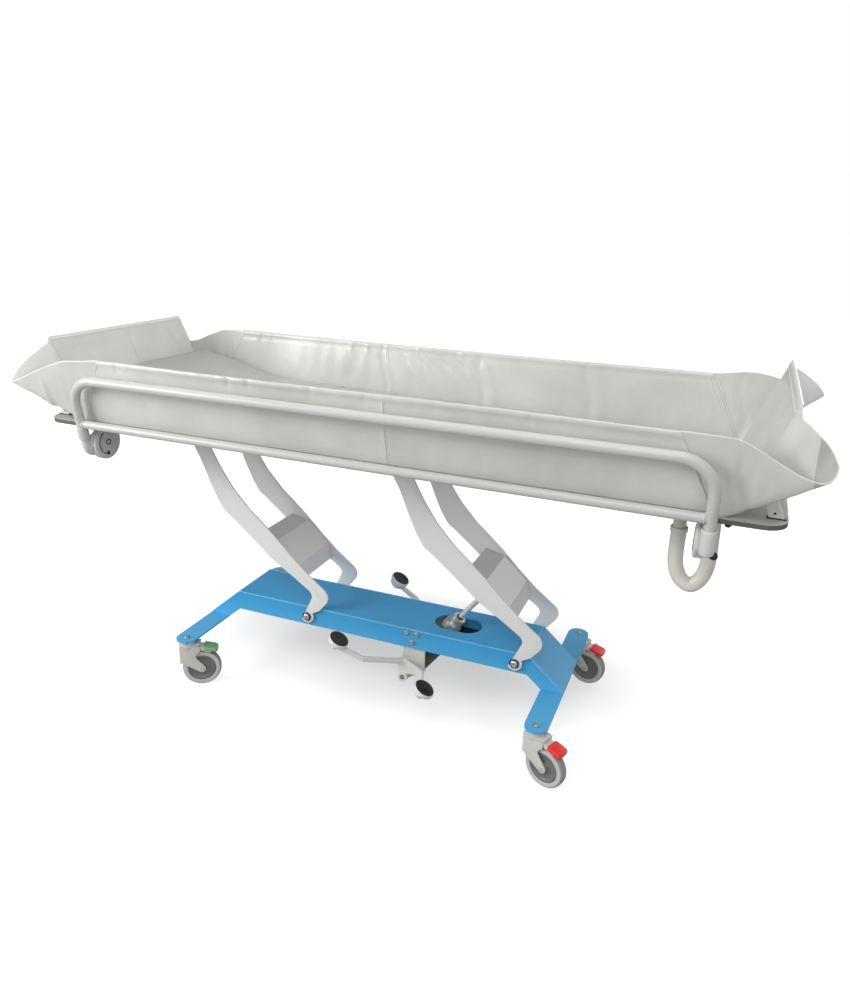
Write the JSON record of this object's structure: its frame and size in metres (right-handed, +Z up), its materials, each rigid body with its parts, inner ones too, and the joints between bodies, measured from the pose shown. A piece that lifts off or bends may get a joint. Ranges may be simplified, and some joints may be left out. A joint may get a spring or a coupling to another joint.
{
  "type": "shower trolley",
  "caption": "Height-adjustable shower trolley: a padded waterproof tray with fold-down side rails and a drain hose, on parallel lifting arms over a castered base with foot pedals",
  "frame": {"origin": "On the floor under the middle of the platform, midway between the side rails.", "axes": "+X along the trolley to the head end, where the drain hose is; +Y across to the far side rail; +Z up."},
  "size_m": [2.24, 0.8232, 1.1423],
  "materials": {
    "blue_paint": "satin",
    "white_paint": "satin",
    "fork_paint": "satin",
    "grey_plastic": "matt",
    "tread_rubber": "matt",
    "red_plastic": "gloss",
    "green_plastic": "gloss",
    "black_rubber": "matt",
    "black_plastic": "matt",
    "steel": "brushed",
    "polished_rod": "polished",
    "zinc": "plated",
    "board_plastic": "matt",
    "liner_sheet": "soft sheen",
    "hose_plastic": "soft sheen"
  },
  "bodies": {
    "base": {"base_frame": "blue_paint", "foot_arm_lower_shaft": "steel", "head_arm_lower_shaft": "steel", "pump_bracket": "fork_paint"},
    "head_near_fork": {"head_near_caster_fork": "fork_paint"},
    "head_near_wheel": {"head_near_caster_wheel_hub": "grey_plastic", "head_near_caster_tyre": "tread_rubber"},
    "head_near_brake": {"head_near_caster_brake_pedal": "red_plastic"},
    "foot_near_fork": {"foot_near_caster_fork": "fork_paint"},
    "foot_near_wheel": {"foot_near_caster_wheel_hub": "grey_plastic", "foot_near_caster_tyre": "tread_rubber"},
    "foot_near_brake": {"foot_near_caster_brake_pedal": "green_plastic"},
    "head_far_fork": {"head_far_caster_fork": "fork_paint"},
    "head_far_wheel": {"head_far_caster_wheel_hub": "grey_plastic", "head_far_caster_tyre": "tread_rubber"},
    "head_far_brake": {"head_far_caster_brake_pedal": "red_plastic"},
    "foot_far_fork": {"foot_far_caster_fork": "fork_paint"},
    "foot_far_wheel": {"foot_far_caster_wheel_hub": "grey_plastic", "foot_far_caster_tyre": "tread_rubber"},
    "foot_far_brake": {"foot_far_caster_brake_pedal": "green_plastic"},
    "head_arm": {"head_arm_near_plate": "white_paint", "head_arm_far_plate": "white_paint", "head_arm_cross_panel": "white_paint", "rod_pin": "steel"},
    "foot_arm": {"foot_arm_near_plate": "white_paint", "foot_arm_far_plate": "white_paint", "foot_arm_cross_panel": "white_paint"},
    "platform": {"head_arm_upper_shaft": "steel", "foot_arm_upper_shaft": "steel", "underframe": "white_paint", "bed_board": "board_plastic", "floor_pad": "liner_sheet", "tray_liner": "liner_sheet", "head_stanchion": "white_paint", "foot_stanchion": "white_paint", "drain_stub": "hose_plastic", "drain_hose": "hose_plastic", "hose_holder": "white_paint", "near_head_hinge_bracket": "grey_plastic", "near_foot_hinge_bracket": "grey_plastic", "far_head_hinge_bracket": "grey_plastic", "far_foot_hinge_bracket": "grey_plastic"},
    "cylinder": {"pump_cylinder": "zinc"},
    "rod": {"piston_rod": "polished_rod"},
    "foot_rocker": {"pedal_shaft": "steel", "near_rocker": "white_paint", "far_rocker": "white_paint", "near_rear_pad": "black_rubber", "near_front_pad": "black_rubber", "far_rear_pad": "black_rubber", "far_front_pad": "black_rubber"},
    "near_rail": {"near_side_rail": "white_paint", "near_head_hinge_socket": "grey_plastic", "near_foot_hinge_socket": "grey_plastic"},
    "near_knob": {"near_lock_knob": "black_plastic"},
    "far_rail": {"far_side_rail": "white_paint", "far_head_hinge_socket": "grey_plastic", "far_foot_hinge_socket": "grey_plastic"},
    "far_knob": {"far_lock_knob": "black_plastic"}
  },
  "joints": [
    {"name": "head_near_swivel", "type": "hinge", "parent": "base", "child": "head_near_fork", "pos_m": [0.531, -0.286, 0.174], "axis": [0, 0, 1], "continuous": true},
    {"name": "head_near_wheel_spin", "type": "hinge", "parent": "head_near_fork", "child": "head_near_wheel", "pos_m": [0.57021, -0.30105, 0.0625], "axis": [0.3584, 0.9336, 0], "continuous": true},
    {"name": "head_near_brake_press", "type": "hinge", "parent": "head_near_fork", "child": "head_near_brake", "pos_m": [0.56181, -0.29783, 0.141], "axis": [0.3584, 0.9336, 0], "range_deg": [0, 8]},
    {"name": "foot_near_swivel", "type": "hinge", "parent": "base", "child": "foot_near_fork", "pos_m": [-0.645, -0.286, 0.174], "axis": [0, 0, 1], "continuous": true},
    {"name": "foot_near_wheel_spin", "type": "hinge", "parent": "foot_near_fork", "child": "foot_near_wheel", "pos_m": [-0.61018, -0.26251, 0.0625], "axis": [-0.5592, 0.829, 0], "continuous": true},
    {"name": "foot_near_brake_press", "type": "hinge", "parent": "foot_near_fork", "child": "foot_near_brake", "pos_m": [-0.61764, -0.26755, 0.141], "axis": [-0.5592, 0.829, 0], "range_deg": [0, 8]},
    {"name": "head_far_swivel", "type": "hinge", "parent": "base", "child": "head_far_fork", "pos_m": [0.531, 0.286, 0.174], "axis": [0, 0, 1], "continuous": true},
    {"name": "head_far_wheel_spin", "type": "hinge", "parent": "head_far_fork", "child": "head_far_wheel", "pos_m": [0.57223, 0.27799, 0.0625], "axis": [0.1908, 0.9816, 0], "continuous": true},
    {"name": "head_far_brake_press", "type": "hinge", "parent": "head_far_fork", "child": "head_far_brake", "pos_m": [0.56339, 0.2797, 0.141], "axis": [0.1908, 0.9816, 0], "range_deg": [0, 8]},
    {"name": "foot_far_swivel", "type": "hinge", "parent": "base", "child": "foot_far_fork", "pos_m": [-0.645, 0.286, 0.174], "axis": [0, 0, 1], "continuous": true},
    {"name": "foot_far_wheel_spin", "type": "hinge", "parent": "foot_far_fork", "child": "foot_far_wheel", "pos_m": [-0.60553, 0.30036, 0.0625], "axis": [-0.342, 0.9397, 0], "continuous": true},
    {"name": "foot_far_brake_press", "type": "hinge", "parent": "foot_far_fork", "child": "foot_far_brake", "pos_m": [-0.61399, 0.29729, 0.141], "axis": [-0.342, 0.9397, 0], "range_deg": [0, 8]},
    {"name": "lift", "type": "hinge", "parent": "base", "child": "head_arm", "pos_m": [0.412, 0, 0.243], "axis": [0, 1, 0], "range_deg": [-33, 2.5]},
    {"name": "foot_arm_swing", "type": "hinge", "parent": "base", "child": "foot_arm", "pos_m": [-0.296, 0, 0.243], "axis": [0, 1, 0], "range_deg": [-33, 2.5]},
    {"name": "platform_level", "type": "hinge", "parent": "head_arm", "child": "platform", "pos_m": [0.002, 0, 0.843], "axis": [0, 1, 0], "range_deg": [-2.5, 33]},
    {"name": "cylinder_tilt", "type": "hinge", "parent": "base", "child": "cylinder", "pos_m": [0.055, 0, 0.112], "axis": [0, 1, 0], "range_deg": [-4.4, 0.5]},
    {"name": "rod_slide", "type": "slide", "parent": "cylinder", "child": "rod", "axis": [0.6116, 0, 0.7912], "range_m": [-0.1245, 0.0115]},
    {"name": "foot_pump", "type": "hinge", "parent": "base", "child": "foot_rocker", "pos_m": [0.055, 0, 0.112], "axis": [0, 1, 0], "range_deg": [-10, 10], "stiffness_Nm_per_rad": 60},
    {"name": "near_rail_fold", "type": "hinge", "parent": "platform", "child": "near_rail", "pos_m": [0, -0.303, 0.8137], "axis": [1, 0, 0], "range_deg": [0, 155]},
    {"name": "near_lock_pull", "type": "slide", "parent": "near_rail", "child": "near_knob", "axis": [1, 0, 0], "range_m": [0, 0.008], "stiffness_N_per_m": 800},
    {"name": "far_rail_fold", "type": "hinge", "parent": "platform", "child": "far_rail", "pos_m": [0, 0.303, 0.8137], "axis": [-1, 0, 0], "range_deg": [0, 155]},
    {"name": "far_lock_pull", "type": "slide", "parent": "far_rail", "child": "far_knob", "axis": [1, 0, 0], "range_m": [0, 0.008], "stiffness_N_per_m": 800}
  ],
  "couplings": [
    {"joint": "foot_arm_swing", "follows": "lift", "ratio": 1},
    {"joint": "platform_level", "follows": "lift", "ratio": -1},
    {"joint": "cylinder_tilt", "follows": "lift", "ratio": 0.13},
    {"joint": "rod_slide", "follows": "lift", "m_per_rad": 0.2157}
  ]
}
